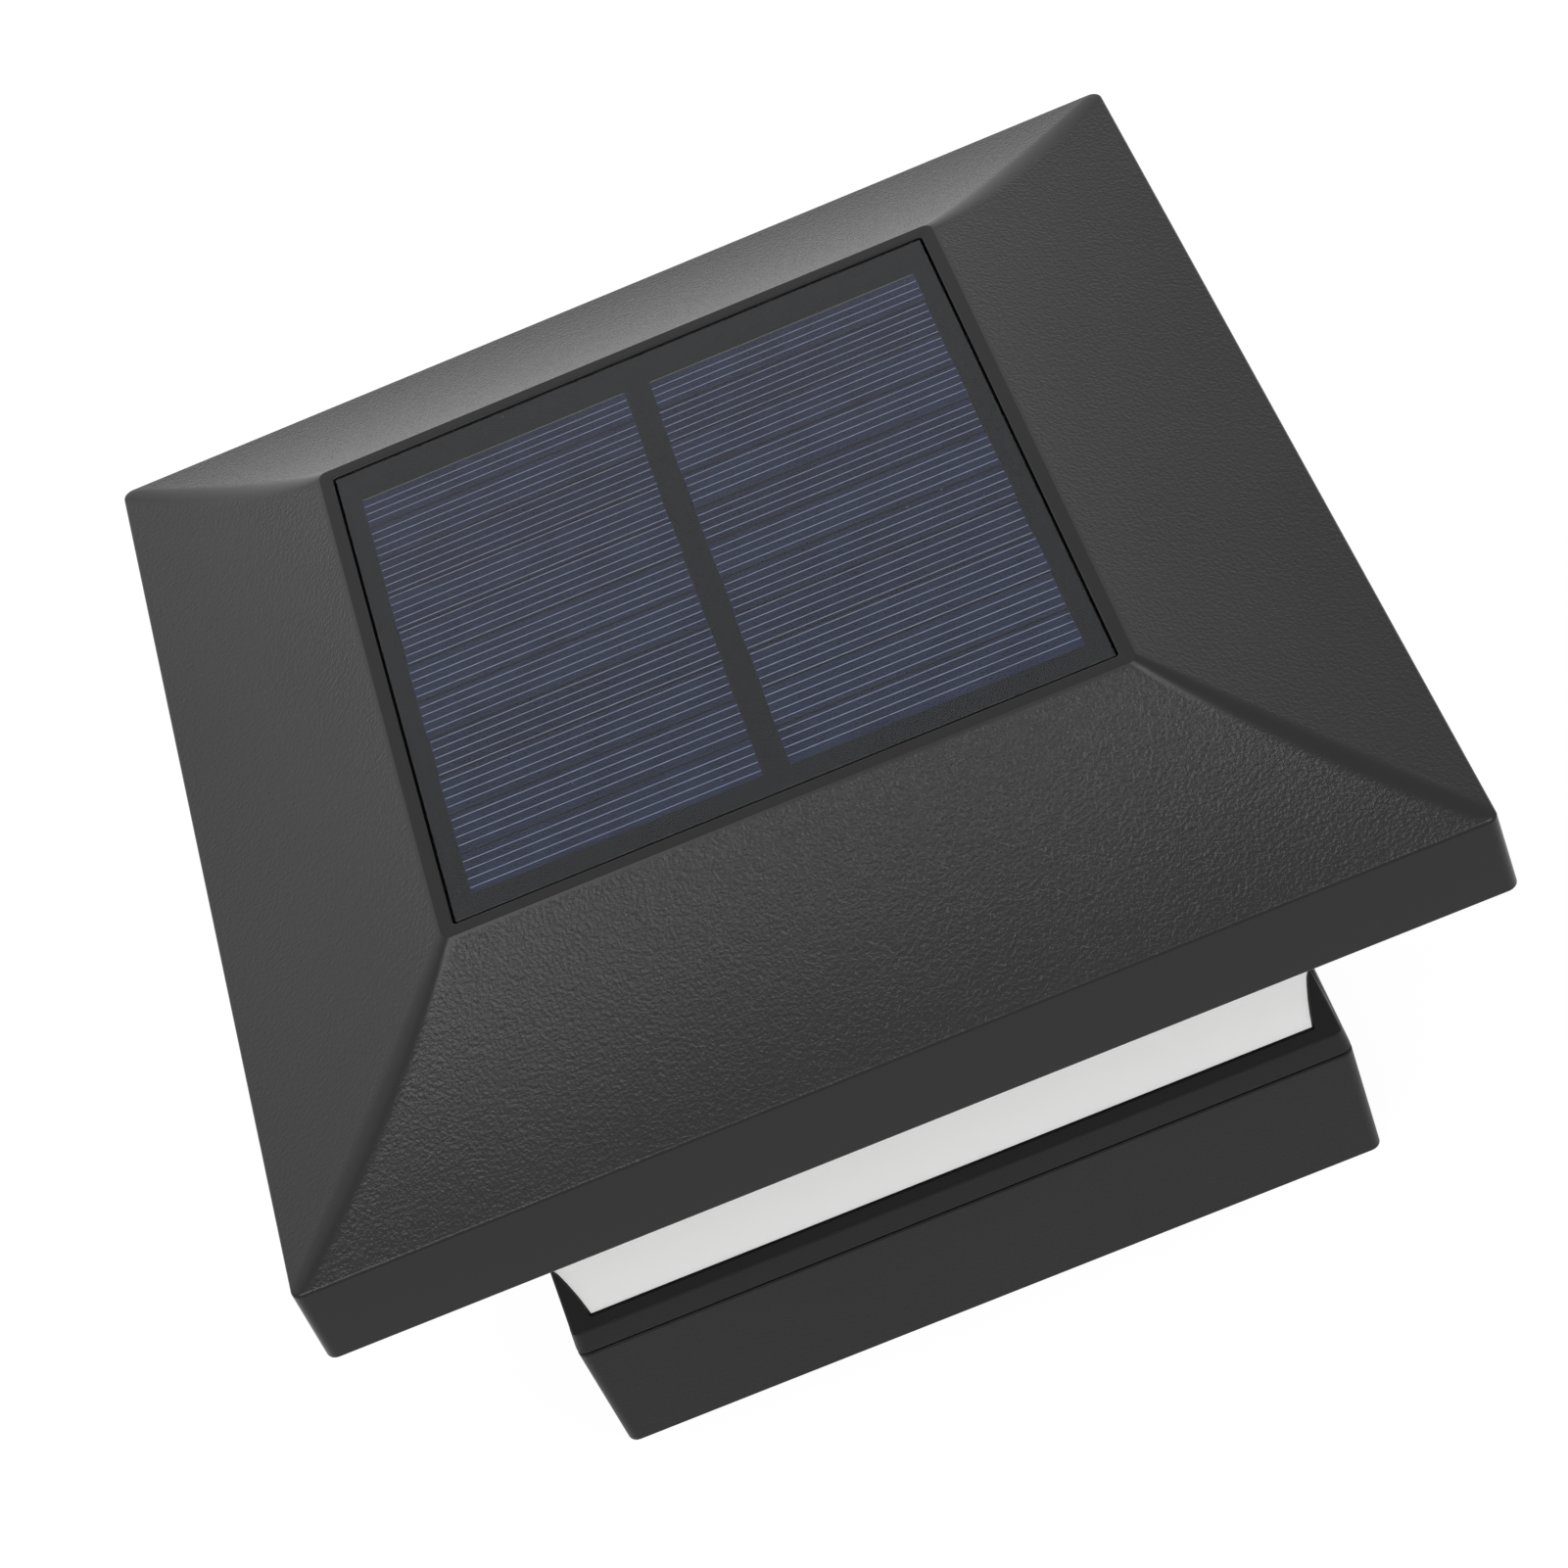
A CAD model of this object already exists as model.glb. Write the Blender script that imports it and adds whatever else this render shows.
import math
import random

import bpy
from bpy.props import FloatProperty, FloatVectorProperty, IntProperty, PointerProperty
from bpy.types import Operator, Panel, PropertyGroup
from mathutils import Matrix, Vector


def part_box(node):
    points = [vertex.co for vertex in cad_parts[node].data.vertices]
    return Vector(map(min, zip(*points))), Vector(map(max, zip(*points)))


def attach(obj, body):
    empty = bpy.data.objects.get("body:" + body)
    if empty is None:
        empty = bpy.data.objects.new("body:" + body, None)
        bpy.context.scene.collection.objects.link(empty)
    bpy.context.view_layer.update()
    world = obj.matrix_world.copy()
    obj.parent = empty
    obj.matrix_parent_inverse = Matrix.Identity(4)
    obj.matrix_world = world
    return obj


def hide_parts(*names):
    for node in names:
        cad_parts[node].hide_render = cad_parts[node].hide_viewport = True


bl_info = {
    "name": "Solar post light",
    "version": (1, 0, 0),
    "blender": (4, 5, 0),
    "location": "View3D > Sidebar > Post light",
    "description": "Dresses the solar post-cap light and sets its studio",
    "category": "Object",
}

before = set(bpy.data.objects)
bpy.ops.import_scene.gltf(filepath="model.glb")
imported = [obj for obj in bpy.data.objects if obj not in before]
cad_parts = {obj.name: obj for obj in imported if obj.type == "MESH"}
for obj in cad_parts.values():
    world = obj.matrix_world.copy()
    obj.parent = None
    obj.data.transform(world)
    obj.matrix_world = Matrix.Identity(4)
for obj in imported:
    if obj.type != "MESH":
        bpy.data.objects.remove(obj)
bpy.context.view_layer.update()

MM = 0.001
WELD = 0.0005 * MM  # points nearer than this become one
FLAT_BEND = math.radians(3)  # corners flatter than this aren't rounded
SMOOTH_BEND = math.radians(32)  # faces that meet flatter than this look like one surface
ROUNDED_BEND = math.radians(38)  # edges sharper than this are rounded
HOLE_DEPTH = 4 * MM  # of the screw holes, through any wall here
LAMP_DISTANCE = 0.9  # from the soft boxes to the middle of the light

LIGHT = "light"  # the body that stands still
KNOB = "switch_knob"  # the body that slides
ROOF_LOW, ROOF_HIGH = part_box("roof_cover")
SKIRT_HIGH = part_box("post_skirt")[1]
HEAD_LOW, HEAD_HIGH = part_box("head_base")
SOFFIT_LOW, SOFFIT_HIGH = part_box("soffit")
COVER_LOW, COVER_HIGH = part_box("battery_cover")
SLIDER_LOW, SLIDER_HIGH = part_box("switch_slider")
BATTERY_LOW, BATTERY_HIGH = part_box("battery_box")
BOARD_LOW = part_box("panel_board")[0]


# ---- sizes and colours


def linear(hex_colour):
    """sRGB hex to a linear RGBA colour."""
    channels = [int(hex_colour[i:i + 2], 16) / 255 for i in (1, 3, 5)]
    return [c / 12.92 if c <= 0.04045 else ((c + 0.055) / 1.055) ** 2.4 for c in channels] + [1.0]


def number(name, description, default, **more):
    """A number that a user may change."""
    return FloatProperty(name=name, description=description, default=default, **more)


def mm(name, description, default):
    """A length that a user may change, given here in millimetres."""
    return number(name, description, default * MM, unit="LENGTH")


def degrees(name, description, default):
    """An angle that a user may change, given here in degrees."""
    return number(name, description, math.radians(default), subtype="ANGLE")


def shade(name, description, hex_colour):
    """A colour that a user may change, given here as sRGB hex."""
    return FloatVectorProperty(
        name=name, description=description, default=linear(hex_colour)[:3],
        subtype="COLOR", min=0, max=1,
    )


class RoofSizes(PropertyGroup):
    """The roof moulding, whose outer box comes from the frame."""

    rim_width: mm("Rim width", "Across the crease above the lip", 150)
    lip_height: mm("Lip height", "Upright edge of the roof", 12.7)
    ring_width: mm("Ring width", "Across the flat ring", 88.6)
    recess_width: mm("Recess width", "Across the panel's recess", 85)
    recess_depth: mm("Recess depth", "Ring down to the deck", 3.35)
    sag: mm("Sag", "How far the slopes hang below a straight line", 1.2)
    wall: mm("Wall", "Thickness of the moulding", 2.2)
    hip_low: mm("Hip foot", "Corner radius of the hips at the rim", 1.4)
    hip_top: mm("Hip top", "Corner radius of the hips at the ring", 1.2)
    hip_bulge: mm("Hip softness", "Extra corner radius half-way up the hips", 1.8)


class SkirtSizes(PropertyGroup):
    """The square skirt that slips over the post."""

    wall: mm("Wall", "Thickness of the four sides", 2.6)
    flange_low: mm("Flange underside", "Height at which the post stops", 18.6)
    flange_thickness: mm("Flange thickness", "Thickness of the stop flange", 2.2)
    opening: mm("Opening", "Across the flange's opening", 84)
    lead_in: mm("Lead-in", "Widening of the mouth for the post", 0.8)
    rib_place: mm("Rib place", "Grip rib from the middle of a side", 42)
    rib_width: mm("Rib width", "Width of a grip rib", 2)
    rib_height: mm("Rib height", "How far a rib stands in", 0.5)
    hole: mm("Fixing hole", "Diameter of a fixing hole", 4.5)
    hole_spacing: mm("Hole spacing", "Between the two holes of a side", 56)
    hole_height: mm("Hole height", "Fixing holes above the rim", 9)


class HeadSizes(PropertyGroup):
    """Floor and sloped band of the light head."""

    floor_low: mm("Floor underside", "Height of the floor's underside", 22.2)
    floor: mm("Floor thickness", "Thickness of the floor", 2.4)
    band_height: mm("Band height", "Height of the sloped band", 4)
    band_lean: mm("Band lean", "How far the band leans in", 0.5)
    band_wall: mm("Band wall", "Thickness of the band", 1.6)
    spigot: mm("Spigot", "Across the spigot", 102.8)
    spigot_wall: mm("Spigot wall", "Thickness of the spigot", 2)
    guard: mm("Guard height", "Rim round the switch knob", 1)
    guard_wall: mm("Guard wall", "Thickness of that rim", 1.2)
    edge: mm("Edge", "Small rounding of bezel and lens edges", 0.18)


class FastenerSizes(PropertyGroup):
    """The countersunk screws, and the round holes for them."""

    head: mm("Head", "Diameter of a screw head", 6)
    shank: mm("Shank", "Diameter of the screw", 3.2)
    recess: mm("Recess", "Across the cross recess", 3.2)
    slot: mm("Slot", "Width of the recess's wings", 0.8)
    play: mm("Play", "Hole wider than the screw", 0.3)


class PanelSizes(PropertyGroup):
    """The solar panel's clear sheet, strips and printed lines."""

    sink: mm("Sink", "Clear sheet below the ring", 0.1)
    gap: mm("Gap", "Dark gap all round the sheet", 0.36)
    rows: IntProperty(name="Rows", description="Strips in each column", default=11)
    columns: IntProperty(name="Columns", description="Columns of strips", default=2)
    column_gap: mm("Column gap", "Dark band between the columns", 3.4)
    row_gap: mm("Row gap", "Dark line between two strips", 0.35)
    row_step: mm("Row step", "From one strip to the next", 6.92)
    print_near: mm("Near edge", "Near edge of the strips", -38.75)
    print_far: mm("Far edge", "Far edge, which the border trims", 36.2)
    print_side: mm("Side edge", "Side edges of the strips", 39.45)
    laminate: mm("Laminate", "Clear layer over the strips", 0.2)
    strip: mm("Strip thickness", "Thickness of a silicon strip", 0.04)
    finger_pitch: mm("Finger pitch", "Between two printed lines", 1.5)
    finger_width: mm("Finger width", "Width of a printed line", 0.09)


class StudioSizes(PropertyGroup):
    """The photograph's camera and the soft studio light."""

    azimuth: degrees("Azimuth", "Camera's turn round the light", -4.719)
    elevation: degrees("Elevation", "Camera's height angle", 46.308)
    roll: degrees("Roll", "Camera's turn about its own axis", -25.428)
    distance: mm("Distance", "Camera to its aim", 493.83)
    aim: FloatVectorProperty(
        name="Aim", description="Point on the camera's axis",
        default=(-0.01292, -0.01617, 0.06658), subtype="XYZ",
    )
    lens: number("Lens", "Focal length on a 36 mm sensor", 88.175, unit="CAMERA")
    shift_x: number("Shift across", "Picture cut off-centre, across", 0.0523)
    shift_y: number("Shift up", "Picture cut off-centre, up", 0.0282)
    ambient: number("Ambient", "Strength of the light from all round", 0.45)
    key: number("Key lights", "Watts of each soft box above the camera", 2.6)
    side: number("Side light", "Watts of the soft box behind, on the left", 0.7)


class Colours(PropertyGroup):
    """Colours of the finishes that a user would change."""

    shell: shade("Shell", "Black moulded plastic", "#1C1C1C")
    lens: shade("Lens", "Opal plastic", "#E2E2E1")
    cells: shade("Cells", "Silicon under the clear sheet", "#1F2434")


# ---- materials


def add(tree, kind, links=None, **settings):
    """Adds one node with its settings, its input values and its input links."""
    made = tree.nodes.new(kind)
    for key, value in settings.items():
        setattr(made, key, value)
    for socket, value in (links or {}).items():
        if isinstance(value, bpy.types.NodeSocket):
            tree.links.new(value, made.inputs[socket])
        else:
            made.inputs[socket].default_value = value
    return made


def new_material(name, roughness, ior=1.4, metallic=0.0):
    """A material with one Principled shader, and its node tree."""
    made = bpy.data.materials.new(name)
    made.use_nodes = True
    tree = made.node_tree
    shader = tree.nodes["Principled BSDF"]
    shader.inputs["Roughness"].default_value = roughness
    shader.inputs["Metallic"].default_value = metallic
    if not metallic:
        shader.inputs["IOR"].default_value = ior
    return made, tree, shader


def blended(tree, factor, low, high):
    """Colour between two, by a factor socket."""
    made = add(tree, "ShaderNodeMix", {"Factor": factor, 6: low, 7: high}, data_type="RGBA")
    return made.outputs[2]


def scaled(colour, factor):
    """A lighter or darker colour, as RGBA."""
    return [channel * factor for channel in colour[:3]] + [1.0]


def mottled(tree, place, size, low, high, detail=2.0):
    """Patches of this size in metres that drift between two colours, and their pattern."""
    noise = {"Vector": place, "Scale": 1 / size, "Detail": detail}
    pattern = add(tree, "ShaderNodeTexNoise", noise).outputs["Fac"]
    return blended(tree, pattern, low, high), pattern


def skin(tree, shader, colour, height, strength, depth):
    """Gives a shader its colour and the relief of a pattern, this many millimetres deep."""
    relief = {"Height": height, "Strength": strength, "Distance": depth * MM}
    bump = add(tree, "ShaderNodeBump", relief)
    tree.links.new(colour, shader.inputs["Base Color"])
    tree.links.new(bump.outputs["Normal"], shader.inputs["Normal"])


def show(tree, factor, low, high):
    """Shows a mix of two shaders, by a factor socket, as the surface."""
    mixed = add(tree, "ShaderNodeMixShader", {0: factor, 1: low.outputs[0], 2: high.outputs[0]})
    tree.links.new(mixed.outputs[0], tree.nodes["Material Output"].inputs["Surface"])
    return mixed


def rays(tree, *kinds):
    """1 for rays of these kinds, else 0."""
    path = add(tree, "ShaderNodeLightPath")
    share = path.outputs[kinds[0]]
    for kind in kinds[1:]:
        either = add(tree, "ShaderNodeMath", {0: share, 1: path.outputs[kind]}, operation="MAXIMUM")
        share = either.outputs[0]
    return share


def etched_share(tree, place):
    """1 where the roof's mould is etched, 0 on its smooth hips, ring and lip."""
    rim_z = ROOF_LOW.z + bpy.context.scene.post_light_roof.lip_height
    part = add(tree, "ShaderNodeSeparateXYZ", {0: place})
    across = add(tree, "ShaderNodeMath", {0: part.outputs["X"]}, operation="ABSOLUTE").outputs[0]
    along = add(tree, "ShaderNodeMath", {0: part.outputs["Y"]}, operation="ABSOLUTE").outputs[0]
    apart = add(tree, "ShaderNodeMath", {0: across, 1: along}, operation="SUBTRACT").outputs[0]
    off_hip = add(tree, "ShaderNodeMath", {0: apart}, operation="ABSOLUTE").outputs[0]
    share = None
    for value, start, end in (
        (off_hip, 0.8 * MM, 3 * MM),
        (part.outputs["Z"], rim_z - 0.3 * MM, rim_z + 0.3 * MM),
        (part.outputs["Z"], ROOF_HIGH.z - 0.1 * MM, ROOF_HIGH.z - 0.4 * MM),
    ):
        step = add(
            tree, "ShaderNodeMapRange", {"Value": value, "From Min": start, "From Max": end},
            interpolation_type="SMOOTHSTEP",
        )
        if share:
            step = add(tree, "ShaderNodeMath", {0: step.outputs[0], 1: share}, operation="MULTIPLY")
        share = step.outputs[0]
    return share


def plastic(name, colour, grain, depth, roughness, contrast=0.25, ior=1.4, polished=None):
    """Moulded plastic with a fine grain, whose width and depth are real ones in millimetres.

    The eye sees an even dull skin whose pits sparkle a little where light glances off it.
    With `polished`, a colour, the hips, ring and lip of the roof are smooth and look darker.
    """
    made, tree, shader = new_material(name, roughness, ior)
    place = add(tree, "ShaderNodeTexCoord").outputs["Object"]
    pits = add(
        tree, "ShaderNodeTexNoise",
        {"Vector": place, "Scale": 1 / (grain * MM), "Detail": 2.0, "Roughness": 0.6},
    )
    darker, lighter = scaled(colour, 1 - contrast), scaled(colour, 1 + contrast)
    toned, _ = mottled(tree, place, 30 * MM, darker, lighter)
    share = etched_share(tree, place) if polished else 1.0
    if polished:
        toned = blended(tree, share, polished, toned)
    skin(tree, shader, toned, pits.outputs["Fac"], share, depth)
    return made


def opal_plastic(colour):
    """Opal acrylic, moulded: even milky white, with light spread inside its wall."""
    made, tree, shader = new_material("opal_acrylic", 0.32, 1.49)
    place = add(tree, "ShaderNodeTexCoord").outputs["Object"]
    toned, _ = mottled(tree, place, 20 * MM, scaled(colour, 0.985), scaled(colour, 1), 3.0)
    shader.inputs["Emission Color"].default_value = (1, 1, 1, 1)
    shader.inputs["Emission Strength"].default_value = 0.22
    shader.inputs["Subsurface Weight"].default_value = 0.35
    shader.inputs["Subsurface Radius"].default_value = (4 * MM, 4 * MM, 4 * MM)
    shader.inputs["Subsurface Scale"].default_value = 0.5
    ripple = add(tree, "ShaderNodeTexNoise", {"Vector": place, "Scale": 1 / (6 * MM)})
    skin(tree, shader, toned, ripple.outputs["Fac"], 0.2, 0.02)
    return made


def panel_glass_material():
    """Clear polycarbonate sheet over the cells: see-through, with a few dust specks on top.

    The lamps shine straight through it on to the strips.
    """
    made, tree, shader = new_material("clear_polycarbonate", 0.02, 1.2)
    shader.inputs["Transmission Weight"].default_value = 1.0
    shader.inputs["Base Color"].default_value = linear("#F4F6F8")
    place = add(tree, "ShaderNodeTexCoord").outputs["Object"]
    dust = add(
        tree, "ShaderNodeTexVoronoi", {"Vector": place, "Scale": 1 / (6 * MM), "Randomness": 1.0}
    )
    speck_size = 0.012
    speck = add(
        tree, "ShaderNodeMath", {0: dust.outputs["Distance"], 1: speck_size}, operation="LESS_THAN"
    )
    grey = add(tree, "ShaderNodeBsdfDiffuse", {"Color": linear("#9A9A98")})
    dusty = show(tree, speck.outputs[0], shader, grey)
    through = add(tree, "ShaderNodeBsdfTransparent", {"Color": linear("#FAFAFA")})
    show(tree, rays(tree, "Is Shadow Ray"), dusty, through)
    return made


def silicon_material(colour):
    """Polished silicon strips: deep blue, each with its own tone."""
    made, tree, shader = new_material("silicon", 0.35, 1.15)
    place = add(tree, "ShaderNodeTexCoord").outputs["Object"]
    tone = add(tree, "ShaderNodeAttribute", attribute_name="tone").outputs["Fac"]
    noise = {"Vector": place, "Scale": 1 / (4 * MM), "Detail": 3.0}
    cloud = add(tree, "ShaderNodeTexNoise", noise).outputs["Fac"]
    mean = add(tree, "ShaderNodeMath", {0: tone, 1: cloud, 2: cloud}, operation="MULTIPLY_ADD")
    toned = blended(tree, mean.outputs[0], scaled(colour, 0.6), scaled(colour, 1.2))
    tree.links.new(toned, shader.inputs["Base Color"])
    return made


def printed_silver():
    """Screen-printed silver paste: fine grey-blue lines, dull yellow where they meet the border."""
    made, tree, shader = new_material("silver_paste", 0.5, 1.2)
    place = add(tree, "ShaderNodeTexCoord").outputs["Object"]
    toned, _ = mottled(tree, place, 0.8 * MM, linear("#63677C"), linear("#9296AC"))
    warmth = add(tree, "ShaderNodeAttribute", attribute_name="warmth").outputs["Fac"]
    tree.links.new(blended(tree, warmth, toned, linear("#68664F")), shader.inputs["Base Color"])
    return made


def brushed_metal(name, colour, roughness):
    """Plated or bare metal of small parts: bright, with a faint grain 0.6 mm wide."""
    made, tree, shader = new_material(name, roughness, metallic=1.0)
    place = add(tree, "ShaderNodeTexCoord").outputs["Object"]
    toned, grain = mottled(tree, place, 0.6 * MM, scaled(colour, 0.8), colour, 3.0)
    skin(tree, shader, toned, grain, 0.3, 0.01)
    return made


FINISHES = {}


def make_finishes():
    """All finishes by name, made once."""
    colours = bpy.context.scene.post_light_colours
    shell, smooth, dark = (scaled(colours.shell, share) for share in (1, 0.7, 0.55))
    FINISHES.update({
        # ABS from a spark-etched mould: dull black whose pits sparkle on the slopes.
        "shell": plastic("grained_black_abs", shell, 0.5, 0.12, 0.26, 0.2, 1.34, polished=smooth),
        # ABS from a finely etched mould: even satin black.
        "satin": plastic("satin_black_abs", shell, 0.4, 0.03, 0.4, 0.15, 1.28),
        # ABS from a smooth mould: a deeper, flatter black.
        "bezel": plastic("smooth_black_abs", dark, 0.4, 0.01, 0.45, 0.1, 1.2),
        "lens": opal_plastic(list(colours.lens)),
        "glass": panel_glass_material(),
        "silicon": silicon_material(list(colours.cells)),
        "silver": printed_silver(),
        # Epoxy laminate under a clear film: a flat, even black border.
        "panel_board": plastic("black_epoxy_board", linear("#1C1C1D"), 0.9, 0.001, 0.5, 0.05, 1.12),
        # Moulded silicone rubber: matt black seals with no shine.
        "rubber": plastic("black_silicone", linear("#1C1C1C"), 0.6, 0.03, 0.7),
        # Moulded polypropylene: plain soft white.
        "white": plastic("white_polypropylene", linear("#E4E4E0"), 0.6, 0.02, 0.5, 0.03),
        # Lacquer over copper: glossy green, mottled every 2 mm.
        "green_board": plastic("green_solder_mask", linear("#1E5B34"), 2, 0.02, 0.3),
        # Moulded epoxy of chips and coils: fine matt black.
        "black_epoxy": plastic("moulded_epoxy", linear("#1B1B1D"), 0.3, 0.02, 0.5),
        # Silicone filled with phosphor: a yellow dot in each lamp.
        "phosphor": plastic("led_phosphor", linear("#D8C25A"), 0.4, 0.01, 0.4, 0.1),
        # Shrunk PVC film round the cell: smooth bright blue.
        "sleeve": plastic("shrink_sleeve", linear("#2A5C9C"), 3, 0.02, 0.3),
        # Extruded PVC round the wires: smooth, slightly glossy.
        "red_wire": plastic("red_pvc", linear("#8C1B1B"), 1, 0.01, 0.4),
        "black_wire": plastic("black_pvc", linear("#1A1A1A"), 1, 0.01, 0.4),
        # Zinc plate on steel: bright blue-grey screws and springs.
        "zinc": brushed_metal("zinc_plated_steel", linear("#B9BABC"), 0.35),
        # Bare rolled copper alloy: warm brown contacts.
        "copper": brushed_metal("bare_copper_alloy", linear("#C4824E"), 0.35),
        # Drawn aluminium of the capacitor's can: soft pale shine.
        "aluminium": brushed_metal("satin_aluminium", linear("#C8C9CB"), 0.4),
    })


FINISH_NODES = {
    "shell": "roof_cover",
    "glass": "panel_glass",
    "silicon": "solar_cells",
    "panel_board": "panel_board",
    "rubber": "panel_gasket soffit_seal lens_seal_top lens_seal_bottom battery_cover_seal",
    "lens": "lens",
    "bezel": "lens_bezel switch_slider",
    "satin": "head_base post_skirt soffit battery_box battery_cover",
    "white": "reflector_core led_board lead_sockets",
    "phosphor": "leds",
    "green_board": "circuit_board",
    "black_epoxy": "control_chip inductor switch_base",
    "aluminium": "capacitor",
    "sleeve": "battery_cell",
    "zinc": "battery_spring battery_contact switch_case soffit_screws pillar_screws skirt_screws"
            " battery_cover_screws switch_screws circuit_screws led_board_screws",
    "copper": "switch_pins switch_clip",
    "red_wire": "panel_leads battery_leads",
    "black_wire": "switch_leads led_leads",
}


# ---- modelling helpers


def deselect():
    """Nothing selected, nothing in edit mode."""
    if bpy.context.object and bpy.context.object.mode != "OBJECT":
        bpy.ops.object.mode_set(mode="OBJECT")
    bpy.ops.object.select_all(action="DESELECT")


def only(piece):
    """Makes a piece the one selected and active object."""
    deselect()
    piece.select_set(True)
    bpy.context.view_layer.objects.active = piece


def open_edit(piece):
    """Opens a piece in edit mode with all of it selected."""
    only(piece)
    bpy.ops.object.mode_set(mode="EDIT")
    bpy.ops.mesh.select_all(action="SELECT")


def close_edit():
    """Turns all faces outwards and leaves edit mode."""
    bpy.ops.mesh.select_all(action="SELECT")
    bpy.ops.mesh.normals_make_consistent(inside=False)
    bpy.ops.object.mode_set(mode="OBJECT")


def join(pieces, name):
    """Joins pieces into one."""
    deselect()
    for piece in pieces:
        piece.select_set(True)
    bpy.context.view_layer.objects.active = pieces[0]
    if len(pieces) > 1:
        bpy.ops.object.join()
    pieces[0].name = name
    pieces[0].data.name = name
    return pieces[0]


def apply_modifiers(piece):
    """Applies every modifier of a piece in order."""
    only(piece)
    for modifier in list(piece.modifiers):
        bpy.ops.object.modifier_apply(modifier=modifier.name)


def finish_piece(piece, name, finish, body=LIGHT, replaced=()):
    """Puts a piece's place into its mesh, smooths it, dresses it and lets it ride."""
    only(piece)
    bpy.ops.object.transform_apply(location=True, rotation=True, scale=True)
    bpy.ops.object.shade_smooth_by_angle(angle=SMOOTH_BEND)
    if piece.data.polygons:
        modifier = piece.modifiers.new("flat_faces", "WEIGHTED_NORMAL")
        modifier.keep_sharp = True
        apply_modifiers(piece)
    piece.name = name
    piece.data.name = name
    piece.data.materials.clear()
    piece.data.materials.append(FINISHES[finish])
    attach(piece, body)
    if replaced:
        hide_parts(*replaced)


def arc_corner(before, corner, after, radius, steps=4):
    """Points of the round that eases a corner of a profile, each (half, z)."""
    start, middle, end = (Vector(p[:2]) for p in (before, corner, after))
    one, two = (start - middle).normalized(), (end - middle).normalized()
    bend = math.pi - one.angle(two)
    if bend < FLAT_BEND:
        return [corner[:3]]
    run = radius * math.tan(bend / 2)
    centre = middle + (one + two).normalized() * radius / math.cos(bend / 2)
    first, last = middle + one * run - centre, middle + two * run - centre
    points = []
    for step in range(steps + 1):
        spoke = first.lerp(last, step / steps).normalized() * radius
        points.append((*(centre + spoke), corner[2]))
    return points


def eased(profile, closed=False):
    """A profile of (half, z, plan radius, rounding) corners, with each corner rounded."""
    stations = []
    count = len(profile)
    for i, corner in enumerate(profile):
        inner = closed or 0 < i < count - 1
        if inner and corner[3]:
            stations += arc_corner(profile[i - 1], corner, profile[(i + 1) % count], corner[3])
        else:
            stations.append(corner[:3])
    return stations


def square_place(half, radius, place, segments):
    """Point number `place` on a square of that half-width with rounded corners."""
    corner, step = divmod(place, segments + 1)
    turn = math.pi / 2 * (corner + step / segments)
    sign_x = (1, -1, -1, 1)[corner % 4]
    sign_y = (1, 1, -1, -1)[corner % 4]
    middle = half - radius
    return sign_x * middle + radius * math.cos(turn), sign_y * middle + radius * math.sin(turn)


def wrap(stations, segments=8, closed=False):
    """Wraps a grid round a square: each station (half, z, plan radius) is one row of it."""
    around = 4 * (segments + 1)
    rows = len(stations) + (1 if closed else 0)
    deselect()
    bpy.ops.mesh.primitive_grid_add(x_subdivisions=around, y_subdivisions=rows - 1, size=1)
    piece = bpy.context.object
    for vertex in piece.data.vertices:
        row, place = divmod(vertex.index, around + 1)
        half, z, radius = stations[row % len(stations)]
        x, y = square_place(half, max(radius, 0.01 * MM), place % around, segments)
        vertex.co = (x, y, z)
    open_edit(piece)
    bpy.ops.mesh.remove_doubles(threshold=WELD)
    if not closed:
        bpy.ops.mesh.fill_holes(sides=0)
    close_edit()
    return piece


def turned(profile, place=(0, 0, 0), segments=8):
    """Round piece about a vertical axis through a profile of (radius, z)."""
    piece = wrap([(radius, z, radius) for radius, z in profile], segments)
    piece.location = place
    return piece


def round_selected(piece, edges, width, segments):
    """Rounds the given edges of a piece in edit mode."""
    numbers = [edge.index for edge in edges]
    only(piece)
    bpy.ops.object.mode_set(mode="EDIT")
    bpy.ops.mesh.select_mode(type="EDGE")
    bpy.ops.mesh.select_all(action="DESELECT")
    bpy.ops.object.mode_set(mode="OBJECT")
    for number in numbers:
        piece.data.edges[number].select = True
    bpy.ops.object.mode_set(mode="EDIT")
    bpy.ops.mesh.bevel(offset=width, segments=segments, affect="EDGES")
    bpy.ops.mesh.select_mode(type="VERT")
    bpy.ops.object.mode_set(mode="OBJECT")


def carve(piece, tools, operation="DIFFERENCE"):
    """Cuts tools that don't touch one another out of a piece, or adds them to it."""
    tool = join(tools, "tool")
    modifier = piece.modifiers.new("carve", "BOOLEAN")
    modifier.operation = operation
    modifier.solver = "EXACT"
    modifier.object = tool
    apply_modifiers(piece)
    bpy.data.objects.remove(tool, do_unlink=True)


def copies(piece, places):
    """The piece put at every place, as one mesh."""
    made = [piece]
    for place in places[1:]:
        only(piece)
        bpy.ops.object.duplicate()
        made.append(bpy.context.object)
    for copy, place in zip(made, places):
        copy.location = place
    return join(made, piece.name)


def sunk_hole(z):
    """Tool for a countersunk hole that opens downwards at height z."""
    size = bpy.context.scene.post_light_fasteners
    wide, narrow = (size.head + size.play) / 2, (size.shank + size.play) / 2
    sunk = z + wide - narrow
    over = 0.4 * MM
    return turned([(wide + over, z - over), (wide, z), (narrow, sunk), (narrow, z + HOLE_DEPTH)])


def sink_screws(piece, z, node):
    """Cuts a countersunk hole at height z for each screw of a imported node."""
    carve(piece, [copies(sunk_hole(z), screw_places(node))])


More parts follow.
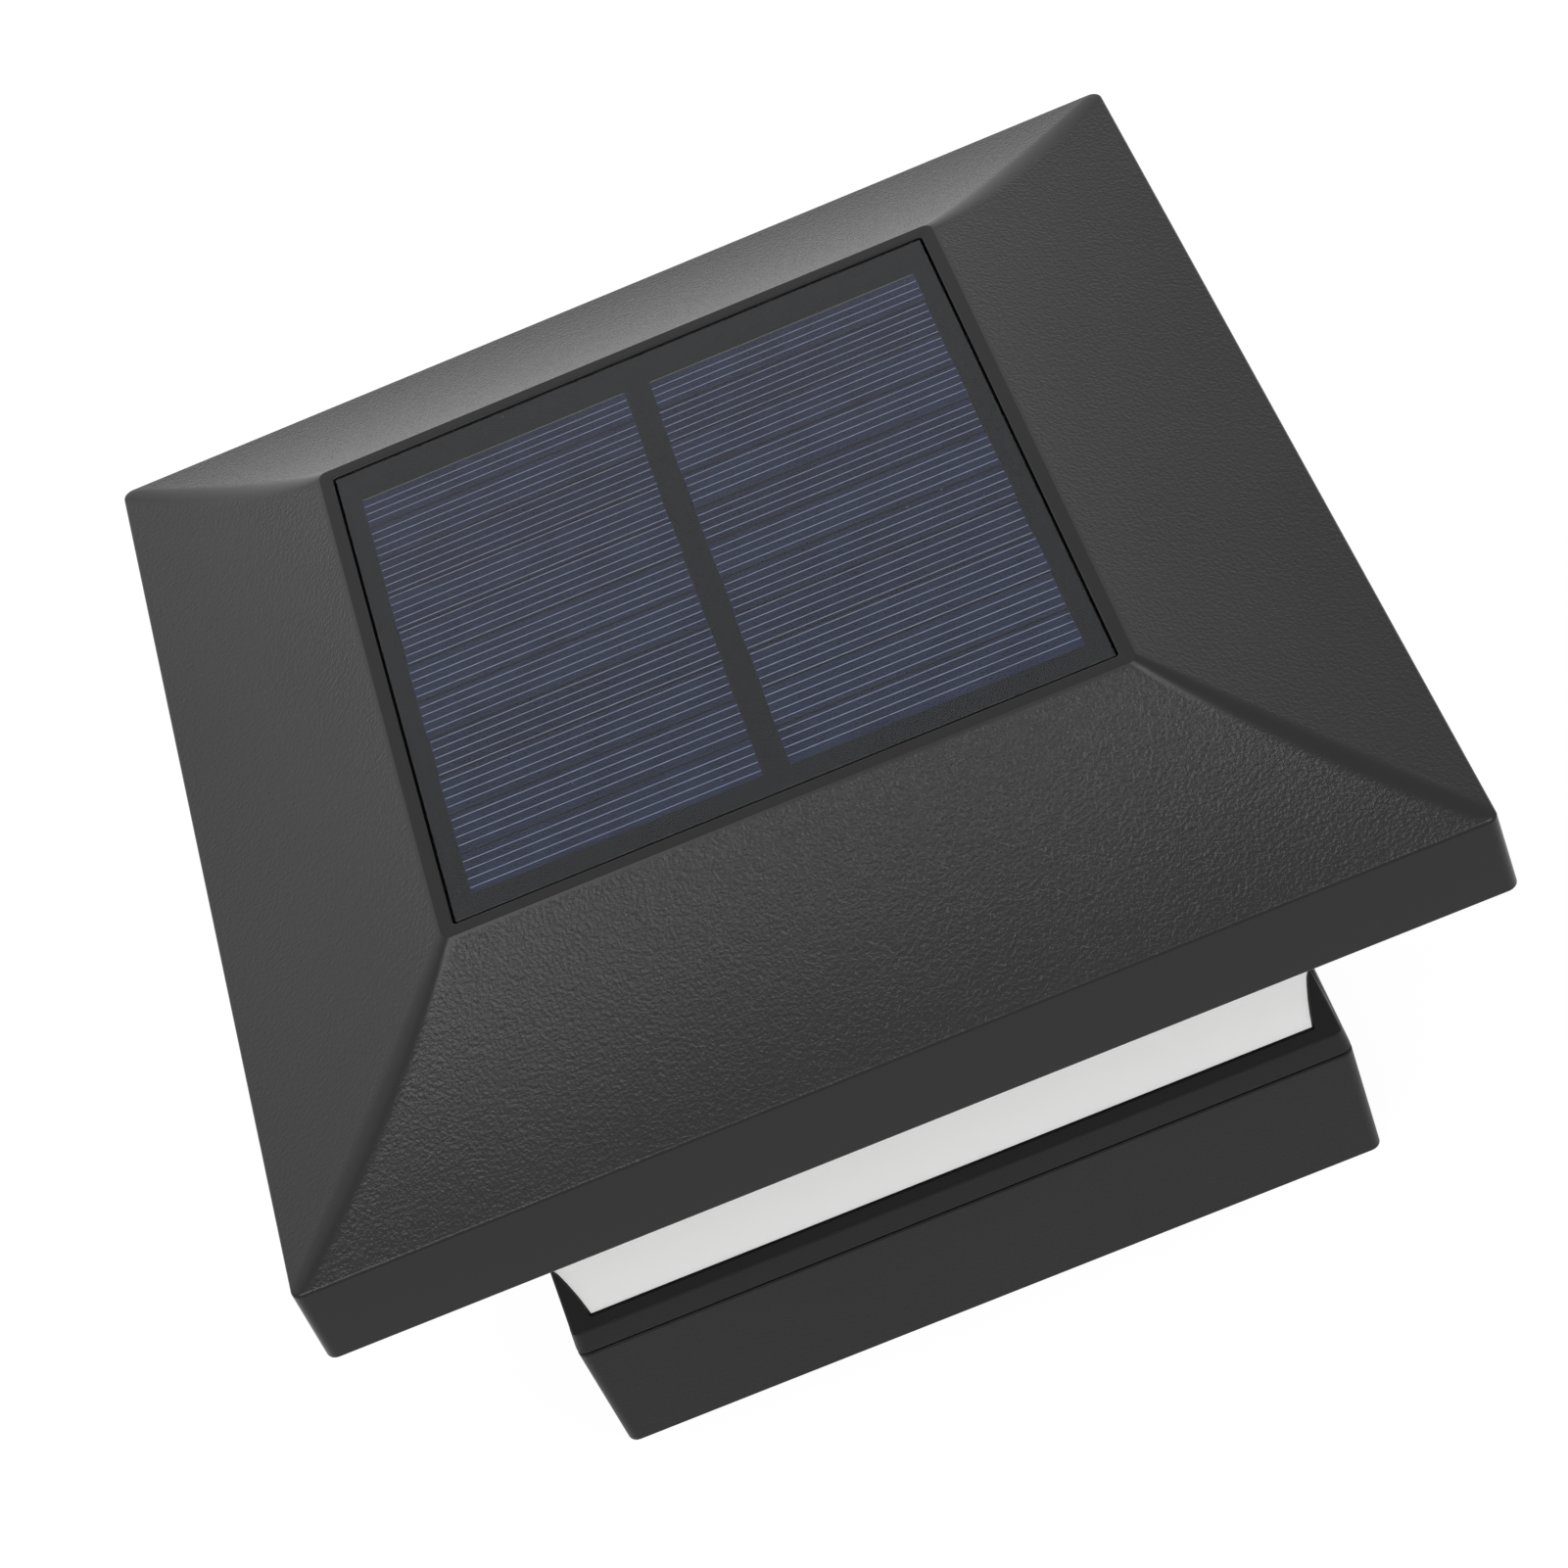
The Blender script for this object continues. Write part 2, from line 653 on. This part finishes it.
def rounded_edges(piece, width):
    """Small rounding on the sharp edges of a piece."""
    modifier = piece.modifiers.new("edges", "BEVEL")
    modifier.limit_method = "ANGLE"
    modifier.angle_limit = ROUNDED_BEND
    modifier.width = width
    modifier.segments = 2
    apply_modifiers(piece)
    return piece


def dressed_copy(node):
    """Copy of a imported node's mesh with its flat faces merged."""
    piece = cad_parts[node].copy()
    piece.data = piece.data.copy()
    bpy.context.scene.collection.objects.link(piece)
    for key in list(piece.keys()):
        del piece[key]
    open_edit(piece)
    bpy.ops.mesh.remove_doubles(threshold=2 * WELD)
    bpy.ops.mesh.dissolve_limited(angle_limit=FLAT_BEND / 3)
    bpy.ops.mesh.customdata_custom_splitnormals_clear()
    close_edit()
    return piece


def screw_places(node):
    """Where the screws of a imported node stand, from the corners of its box."""
    reach = bpy.context.scene.post_light_fasteners.head / 2
    low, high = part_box(node)
    across = sorted({round(low.x + reach, 6), round(high.x - reach, 6)})
    along = sorted({round(low.y + reach, 6), round(high.y - reach, 6)})
    return [(x, y, 0) for x in across for y in along]


def block(low, high):
    """Block between two corners."""
    deselect()
    low, high = Vector(low), Vector(high)
    bpy.ops.mesh.primitive_cube_add(size=1, location=(low + high) / 2)
    piece = bpy.context.object
    piece.scale = high - low
    bpy.ops.object.transform_apply(location=True, rotation=True, scale=True)
    return piece


def bevelled_block(low, high, width, segments=2):
    """Block between two corners with all its edges bevelled."""
    piece = block(low, high)
    bpy.ops.object.mode_set(mode="EDIT")
    bpy.ops.mesh.select_all(action="SELECT")
    bpy.ops.mesh.bevel(offset=width, segments=segments, affect="EDGES")
    bpy.ops.object.mode_set(mode="OBJECT")
    return piece


# ---- pieces


class POSTLIGHT_OT_finishes(Operator):
    """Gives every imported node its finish"""

    bl_idname = "postlight.finishes"
    bl_label = "Finishes"

    def execute(self, context):
        make_finishes()
        for finish, names in FINISH_NODES.items():
            for name in names.split():
                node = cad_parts[name]
                node.data.materials.clear()
                node.data.materials.append(FINISHES[finish])
        return {"FINISHED"}


class POSTLIGHT_OT_roof(Operator):
    """Roof moulding: recess, ring, hanging slopes with soft hips, and lip"""

    bl_idname = "postlight.roof"
    bl_label = "Roof"

    def execute(self, context):
        size = context.scene.post_light_roof
        lip_z, ring_z = ROOF_LOW.z, ROOF_HIGH.z
        rim_z = lip_z + size.lip_height
        rim, ring, recess = size.rim_width / 2, size.ring_width / 2, size.recess_width / 2
        lip = ROOF_HIGH.x
        deck_z = ring_z - size.recess_depth
        run, rise = rim - ring, ring_z - rim_z
        chord = math.hypot(run, rise)
        half_turn = 2 * math.atan(2 * size.sag / chord)
        radius = chord / (2 * math.sin(half_turn))
        rim_angle = math.atan(rise / run) - half_turn
        centre = (rim + radius * math.sin(rim_angle), rim_z + radius * math.cos(rim_angle))

        def slope(share, depth):
            """One station of the slope, from the rim at 0 to the ring at 1."""
            angle = rim_angle + 2 * half_turn * share
            reach = radius + depth
            soft = size.hip_low + (size.hip_top - size.hip_low) * share
            soft += 4 * size.hip_bulge * share * (1 - share)
            return (
                centre[0] - reach * math.sin(angle), centre[1] - reach * math.cos(angle), soft, 0
            )

        steps = 28
        outer = [slope(1 - step / steps, 0) for step in range(1, steps)]
        inner = [
            station for station in (slope(step / steps, size.wall) for step in range(steps))
            if station[1] < deck_z - size.wall and station[0] < rim - size.wall
        ]
        recess_corner, inner_corner = 0.5 * MM, 0.6 * MM
        recess_edge, ring_edge, rim_edge, lip_edge = 0.25 * MM, 0.15 * MM, 0.5 * MM, 0.3 * MM
        profile = [
            (recess, deck_z, recess_corner, 0),
            (recess, ring_z, recess_corner, recess_edge),
            (ring, ring_z, size.hip_top, ring_edge),
            *outer,
            (rim, rim_z, size.hip_low, rim_edge),
            (lip, lip_z, size.hip_low, lip_edge),
            (lip - size.wall, lip_z, inner_corner, lip_edge),
            (rim - size.wall, inner[0][1], inner_corner, 0),
            *inner,
        ]
        piece = wrap(eased(profile), segments=10)
        finish_piece(piece, "roof_shell", "shell", replaced=["roof_cover"])
        return {"FINISHED"}


class POSTLIGHT_OT_panel(Operator):
    """Solar strips with their printed fingers, under a bevelled clear sheet"""

    bl_idname = "postlight.panel"
    bl_label = "Solar panel"

    def execute(self, context):
        size = context.scene.post_light_panel
        half = context.scene.post_light_roof.recess_width / 2 - size.gap
        rng = random.Random(11)
        sheet_top = ROOF_HIGH.z - size.sink
        top = sheet_top - size.laminate
        low_z = top - size.strip
        drift, margin, proud, sunk = 0.1 * MM, 0.1 * MM, 0.01 * MM, 0.02 * MM
        strip_edge, finger_edge, sheet_edge = 0.01 * MM, 0.005 * MM, 0.08 * MM
        board = bevelled_block((-half, -half, BOARD_LOW.z), (half, half, low_z), 0.1 * MM)
        finish_piece(board, "panel_back", "panel_board", replaced=["panel_board"])
        column_step = size.print_side + size.column_gap / 2
        strips, fingers, tones, warmth = [], [], [], []
        for column in range(size.columns):
            for row in range(size.rows):
                x = -size.print_side + column * column_step + rng.uniform(-drift, drift)
                y = size.print_near + row * size.row_step
                right = x + column_step - size.column_gap
                far = min(y + size.row_step - size.row_gap, size.print_far)
                strips.append(bevelled_block((x, y, low_z), (right, far, top), strip_edge, 1))
                tones += [rng.uniform(0.0, 1.0)] * len(strips[-1].data.vertices)
                last = row == size.rows - 1
                line = far - (0.05 * MM if last else rng.uniform(0.1, 1.2) * MM)
                while line > y + margin:
                    fingers.append(bevelled_block(
                        (x + margin, line - size.finger_width / 2, top - sunk),
                        (right - margin, line + size.finger_width / 2, top + proud),
                        finger_edge, 1,
                    ))
                    warmth += [1.0 if last else 0.0] * len(fingers[-1].data.vertices)
                    line -= size.finger_pitch
                    last = False
        cells = join(strips, "cell_strips")
        cells.data.attributes.new("tone", "FLOAT", "POINT").data.foreach_set("value", tones)
        finish_piece(cells, "cell_strips", "silicon", replaced=["solar_cells"])
        lines = join(fingers, "cell_fingers")
        lines.data.attributes.new("warmth", "FLOAT", "POINT").data.foreach_set("value", warmth)
        finish_piece(lines, "cell_fingers", "silver")
        sheet_low = top + 2 * proud
        sheet = bevelled_block((-half, -half, sheet_low), (half, half, sheet_top), sheet_edge)
        finish_piece(sheet, "panel_sheet", "glass", replaced=["panel_glass"])
        return {"FINISHED"}


class POSTLIGHT_OT_skirt(Operator):
    """Skirt with its stop flange, grip ribs, lead-in and holes"""

    bl_idname = "postlight.skirt"
    bl_label = "Skirt"

    def execute(self, context):
        size = context.scene.post_light_skirt
        half, top = SKIRT_HIGH.x, SKIRT_HIGH.z
        inner = half - size.wall
        flange_top = size.flange_low + size.flange_thickness
        corner, inner_corner, opening_corner = 1.4 * MM, 0.3 * MM, 4 * MM
        fine, soft, foot = 0.2 * MM, 0.3 * MM, 0.4 * MM
        profile = [
            (half, 0, corner, foot),
            (half, top, corner, soft),
            (inner, top, inner_corner, fine),
            (inner, flange_top, inner_corner, 0),
            (size.opening / 2, flange_top, opening_corner, fine),
            (size.opening / 2, size.flange_low, opening_corner, fine),
            (inner, size.flange_low, inner_corner, soft),
            (inner, 2 * size.lead_in, inner_corner, foot),
            (inner + size.lead_in, 0, 2 * inner_corner, fine),
        ]
        piece = wrap(eased(profile, closed=True), segments=6, closed=True)
        rib_top = size.flange_low + size.flange_thickness / 2
        ribs = []
        for side in range(4):
            for along in (-size.rib_place, size.rib_place):
                low = (inner - size.rib_height, along - size.rib_width / 2, 4 * size.lead_in)
                high = (inner + size.wall / 2, along + size.rib_width / 2, rib_top)
                rib = bevelled_block(low, high, 0.18 * MM)
                rib.rotation_euler.z = side * math.pi / 2
                ribs.append(rib)
        carve(piece, ribs, "UNION")
        holes, radius = [], size.hole / 2
        for side in (0, math.pi):
            for along in (-size.hole_spacing / 2, size.hole_spacing / 2):
                tool = turned([
                    (radius + 2 * fine, fine),
                    (radius, -fine),
                    (radius, fine - size.wall),
                    (radius + 2 * fine, -size.wall - fine),
                ])
                tool.rotation_euler = (0, math.pi / 2, side)
                tool.location = (half if side == 0 else -half, along, size.hole_height)
                holes.append(tool)
        carve(piece, holes)
        sink_screws(piece, size.flange_low, "skirt_screws")
        finish_piece(piece, "skirt_shell", "satin", replaced=["post_skirt"])
        return {"FINISHED"}


class POSTLIGHT_OT_head(Operator):
    """Floor with its band, spigot, switch guard and holes, then the bezel and the lens"""

    bl_idname = "postlight.head"
    bl_label = "Light head"

    def execute(self, context):
        size = context.scene.post_light_head
        fasteners = context.scene.post_light_fasteners
        half, low = HEAD_HIGH.x, HEAD_LOW.z
        floor_low, floor_top = size.floor_low, size.floor_low + size.floor
        band_top = floor_low + size.band_height
        top_half = half - size.band_lean
        spigot = size.spigot / 2
        corner, inner_corner = 1.4 * MM, 0.4 * MM
        fine, soft, shoulder = 0.2 * MM, 0.3 * MM, 0.4 * MM
        profile = [
            (spigot - size.spigot_wall, floor_low, inner_corner, 0),
            (spigot - size.spigot_wall, low, inner_corner, fine),
            (spigot, low, inner_corner, fine),
            (spigot, floor_low, inner_corner, 0),
            (half, floor_low, corner, soft),
            (top_half, band_top, corner, shoulder),
            (top_half - size.band_wall, band_top, inner_corner, fine),
            (top_half - size.band_wall, floor_top, inner_corner, 0),
        ]
        piece = wrap(eased(profile), segments=6)
        past = 1 * MM
        knob_y = (SLIDER_LOW.y + SLIDER_HIGH.y) / 2
        slot_x = (SLIDER_HIGH.x - SLIDER_LOW.x + 1.2 * MM) / 2
        slot_y = 1.7 * MM
        wall, guard_low = size.guard_wall, floor_low - size.guard
        guard = bevelled_block(
            (-slot_x - wall, knob_y - slot_y - wall, guard_low),
            (slot_x + wall, knob_y + slot_y + wall, floor_low + past),
            0.35 * MM, 3,
        )
        boss, pilot, web = 3.2 * MM, fasteners.shank / 2, 0.2 * MM
        rows = (
            ("battery_cover_screws", floor_top - past, floor_low - past, floor_top + 8 * MM),
            ("skirt_screws", low, low - past, floor_top + 6.6 * MM),
        )
        bosses = [guard]
        for node, foot, mouth, top in rows:
            for place in screw_places(node):
                bosses.append(turned([(boss, foot), (boss, top)], place))
            carve(piece, bosses, "UNION")
            bosses = []
        slot = bevelled_block(
            (-slot_x, knob_y - slot_y, guard_low - past),
            (slot_x, knob_y + slot_y, floor_top + past),
            0.2 * MM,
        )
        inset = 1.6 * MM
        opening = bevelled_block(
            (BATTERY_LOW.x + inset, BATTERY_LOW.y + inset, floor_low - past),
            (BATTERY_HIGH.x - inset, BATTERY_HIGH.y - inset, floor_top + past),
            0.5 * MM,
        )
        tools = [slot, opening] + [
            turned([(pilot, mouth), (pilot, top - web)], place)
            for node, foot, mouth, top in reversed(rows) for place in screw_places(node)
        ]
        carve(piece, tools)
        sink_screws(piece, floor_low, "pillar_screws")
        finish_piece(piece, "head_shell", "satin", replaced=["head_base"])

        bezel = rounded_edges(dressed_copy("lens_bezel"), size.edge)
        finish_piece(bezel, "bezel_shell", "bezel", replaced=["lens_bezel"])
        band = rounded_edges(dressed_copy("lens"), size.edge)
        finish_piece(band, "lens_shell", "lens", replaced=["lens"])
        return {"FINISHED"}


class POSTLIGHT_OT_soffit(Operator):
    """Plate under the roof with pillars, locator, standoffs and holes"""

    bl_idname = "postlight.soffit"
    bl_label = "Soffit"

    def execute(self, context):
        half = SOFFIT_HIGH.x
        plate_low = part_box("soffit_screws")[0].z
        plate_top = plate_low + 2 * MM
        past = 1 * MM
        pillar_foot, pillar_root, standoff, wire_hole = 4 * MM, 5 * MM, 2.5 * MM, 5 * MM
        plate = bevelled_block((-half, -half, plate_low), (half, half, plate_top), 0.3 * MM)
        pillars = [
            turned([(pillar_foot, SOFFIT_LOW.z), (pillar_root, plate_low + past)], place)
            for place in screw_places("pillar_screws")
        ]
        carve(plate, pillars, "UNION")
        board_low, board_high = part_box("circuit_board")
        inset = 3 * MM
        standoffs = [
            turned([(standoff, plate_top - past), (standoff, SOFFIT_HIGH.z)], (x, y, 0))
            for x in (board_low.x + inset, board_high.x - inset)
            for y in (board_low.y + inset, board_high.y - inset)
        ]
        carve(plate, standoffs, "UNION")
        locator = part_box("led_board")[1].x + 0.3 * MM
        locator_wall, outer_corner, inner_corner = 1 * MM, 0.4 * MM, 0.2 * MM
        ring_low, ring_high = plate_low - 2 * MM, plate_low + 0.5 * MM
        ring = [
            (locator + locator_wall, ring_low, outer_corner),
            (locator + locator_wall, ring_high, outer_corner),
            (locator, ring_high, inner_corner),
            (locator, ring_low, inner_corner),
        ]
        carve(plate, [wrap(ring, segments=2, closed=True)], "UNION")
        sink_screws(plate, plate_low, "soffit_screws")
        carve(plate, [turned([(wire_hole, plate_low - past), (wire_hole, plate_top + past)])])
        finish_piece(plate, "soffit_plate", "satin", replaced=["soffit"])
        return {"FINISHED"}


class POSTLIGHT_OT_cover(Operator):
    """Battery cover and the switch knob below it"""

    bl_idname = "postlight.cover"
    bl_label = "Battery cover and knob"

    def execute(self, context):
        cover = block((-COVER_HIGH.x, -COVER_HIGH.y, COVER_LOW.z), COVER_HIGH)

        def ends(edge):
            """Heights of an edge's two ends."""
            return [cover.data.vertices[v].co.z for v in edge.vertices]

        near = 0.1 * MM
        upright = [
            edge for edge in cover.data.edges
            if min(ends(edge)) < COVER_LOW.z + near < max(ends(edge))
        ]
        round_selected(cover, upright, 3 * MM, 8)
        bottom = [edge for edge in cover.data.edges if max(ends(edge)) < COVER_LOW.z + near]
        round_selected(cover, bottom, 0.4 * MM, 3)
        sink_screws(cover, COVER_LOW.z, "battery_cover_screws")
        finish_piece(cover, "battery_lid", "satin", replaced=["battery_cover"])

        low, high = SLIDER_LOW, SLIDER_HIGH
        middle = (low + high) / 2
        plate, stem_x, stem_y = 1.4 * MM, 1.8 * MM, 1.5 * MM
        knob = bevelled_block((low.x, low.y, high.z - plate), high, 0.2 * MM)
        stem = bevelled_block(
            (middle.x - stem_x, middle.y - stem_y, low.z),
            (middle.x + stem_x, middle.y + stem_y, high.z - 0.4 * MM),
            0.3 * MM,
        )
        carve(knob, [stem], "UNION")
        pitch, groove_x, groove_y, groove_depth = 0.9 * MM, 0.22 * MM, 3 * MM, 0.35 * MM
        grooves = [
            bevelled_block(
                (x - groove_x, middle.y - groove_y, low.z - 1 * MM),
                (x + groove_x, middle.y + groove_y, low.z + groove_depth),
                0.1 * MM, 1,
            )
            for x in (middle.x - pitch, middle.x, middle.x + pitch)
        ]
        carve(knob, grooves)
        finish_piece(knob, "knob", "bezel", KNOB, replaced=["switch_slider"])
        return {"FINISHED"}


class POSTLIGHT_OT_screws(Operator):
    """Countersunk screws with a cross recess, one form for all four groups"""

    bl_idname = "postlight.screws"
    bl_label = "Screws"

    def execute(self, context):
        size = context.scene.post_light_fasteners
        for node in ("skirt_screws", "pillar_screws", "battery_cover_screws", "soffit_screws"):
            low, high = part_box(node)
            length = high.z - low.z
            head, shank, rim, point = size.head / 2, size.shank / 2, 0.1 * MM, 0.3 * MM
            screw = turned([
                (head - rim, 0),
                (head, rim),
                (shank, head - shank + rim),
                (shank, length - size.shank),
                (point, length),
            ])
            for turn in (0, math.pi / 2):
                wing = bevelled_block(
                    (-size.recess / 2, -size.slot / 2, -0.5 * MM),
                    (size.recess / 2, size.slot / 2, 1.2 * MM),
                    0.1 * MM,
                )
                wing.rotation_euler.z = turn + math.radians(20)
                carve(screw, [wing])
            screw = copies(screw, [(x, y, low.z) for x, y, _ in screw_places(node)])
            finish_piece(screw, node + "_heads", "zinc", replaced=[node])
        return {"FINISHED"}


# ---- stage


def aim_camera(camera, studio):
    """Places the camera from its angles, its roll and its distance to the aim."""
    a, e, r = studio.azimuth, studio.elevation, studio.roll
    forward = Vector((math.sin(a) * math.cos(e), math.cos(a) * math.cos(e), -math.sin(e)))
    level = Vector((math.cos(a), -math.sin(a), 0))
    upright = level.cross(forward)
    right = level * math.cos(r) + upright * math.sin(r)
    up = upright * math.cos(r) - level * math.sin(r)
    turn = Matrix((right, up, -forward)).transposed().to_4x4()
    camera.matrix_world = Matrix.Translation(Vector(studio.aim) - forward * studio.distance) @ turn


def soft_box(name, azimuth, elevation, width, power):
    """Square area lamp that faces the middle of the object, and isn't seen through glass."""
    lamp = bpy.data.lights.new(name, "AREA")
    lamp.size = width
    lamp.energy = power
    box = bpy.data.objects.new(name, lamp)
    bpy.context.scene.collection.objects.link(box)
    a, e = math.radians(azimuth), math.radians(elevation)
    back = Vector((math.sin(a) * math.cos(e), -math.cos(a) * math.cos(e), math.sin(e)))
    middle = Vector((0, 0, 0.05))
    box.location = middle + back * LAMP_DISTANCE
    box.rotation_euler = back.to_track_quat("Z", "Y").to_euler()
    box.visible_transmission = False


class POSTLIGHT_OT_stage(Operator):
    """White sweep, soft light and the photograph's camera"""

    bl_idname = "postlight.stage"
    bl_label = "Stage"

    def execute(self, context):
        studio = context.scene.post_light_studio
        world = bpy.data.worlds.new("white_studio")
        context.scene.world = world
        world.use_nodes = True
        tree = world.node_tree
        seen = rays(tree, "Is Camera Ray", "Is Glossy Ray", "Is Transmission Ray")
        strength = add(
            tree, "ShaderNodeMapRange", {"Value": seen, "To Min": studio.ambient, "To Max": 1.0}
        )
        tree.links.new(strength.outputs[0], tree.nodes["Background"].inputs["Strength"])
        tree.nodes["Background"].inputs["Color"].default_value = (1, 1, 1, 1)

        deselect()
        sweep_width, glow_strength, glow_share = 6, 1.05, 0.9
        bpy.ops.mesh.primitive_plane_add(size=sweep_width, location=(0, 0, 0))
        floor = context.object
        floor.name = "floor"
        # Matt white paper: the eye sees pure white that still takes a faint shadow.
        made, tree, shader = new_material("white_paper_sweep", 0.9)
        shader.inputs["Base Color"].default_value = linear("#F2F2F2")
        glow = add(tree, "ShaderNodeEmission", {"Color": (1, 1, 1, 1), "Strength": glow_strength})
        seen = rays(tree, "Is Camera Ray", "Is Glossy Ray")
        share = add(tree, "ShaderNodeMath", {0: seen, 1: glow_share}, operation="MULTIPLY")
        show(tree, share.outputs[0], shader, glow)
        floor.data.materials.append(made)

        soft_box("key_left", -38, 57, 0.4, studio.key)
        soft_box("key_right", 50, 57, 0.4, studio.key)
        soft_box("side", -125, 40, 0.6, studio.side)

        optics = bpy.data.cameras.new("photo_camera")
        optics.sensor_width = 36
        optics.lens = studio.lens
        optics.shift_x, optics.shift_y = studio.shift_x, studio.shift_y
        optics.clip_start = 0.01
        camera = bpy.data.objects.new("photo_camera", optics)
        context.scene.collection.objects.link(camera)
        aim_camera(camera, studio)
        context.scene.camera = camera
        context.scene.view_settings.view_transform = "Standard"
        return {"FINISHED"}


class POSTLIGHT_PT_panel(Panel):
    """Lists the sizes, the colours and the steps"""

    bl_idname = "POSTLIGHT_PT_panel"
    bl_label = "Post light"
    bl_space_type = "VIEW_3D"
    bl_region_type = "UI"
    bl_category = "Post light"

    def draw(self, context):
        for group in GROUPS:
            box = self.layout.box()
            sizes = getattr(context.scene, group)
            for key in sizes.__annotations__:
                box.prop(sizes, key)
        for step in STEPS:
            self.layout.operator(step.bl_idname)


GROUPS = {
    "post_light_roof": RoofSizes,
    "post_light_skirt": SkirtSizes,
    "post_light_head": HeadSizes,
    "post_light_fasteners": FastenerSizes,
    "post_light_panel": PanelSizes,
    "post_light_studio": StudioSizes,
    "post_light_colours": Colours,
}
STEPS = (
    POSTLIGHT_OT_finishes,
    POSTLIGHT_OT_roof,
    POSTLIGHT_OT_panel,
    POSTLIGHT_OT_skirt,
    POSTLIGHT_OT_head,
    POSTLIGHT_OT_soffit,
    POSTLIGHT_OT_cover,
    POSTLIGHT_OT_screws,
    POSTLIGHT_OT_stage,
)


def register():
    """Registers the groups, the steps and the panel."""
    for name, group in GROUPS.items():
        bpy.utils.register_class(group)
        setattr(bpy.types.Scene, name, PointerProperty(type=group))
    for step in STEPS:
        bpy.utils.register_class(step)
    bpy.utils.register_class(POSTLIGHT_PT_panel)


def unregister():
    """Takes them away again."""
    bpy.utils.unregister_class(POSTLIGHT_PT_panel)
    for step in reversed(STEPS):
        bpy.utils.unregister_class(step)
    for name, group in GROUPS.items():
        delattr(bpy.types.Scene, name)
        bpy.utils.unregister_class(group)


def main():
    """Makes every piece and the stage, in order."""
    register()
    bpy.ops.postlight.finishes()
    bpy.ops.postlight.roof()
    bpy.ops.postlight.panel()
    bpy.ops.postlight.skirt()
    bpy.ops.postlight.head()
    bpy.ops.postlight.soffit()
    bpy.ops.postlight.cover()
    bpy.ops.postlight.screws()
    bpy.ops.postlight.stage()


if __name__ == "__main__":
    main()
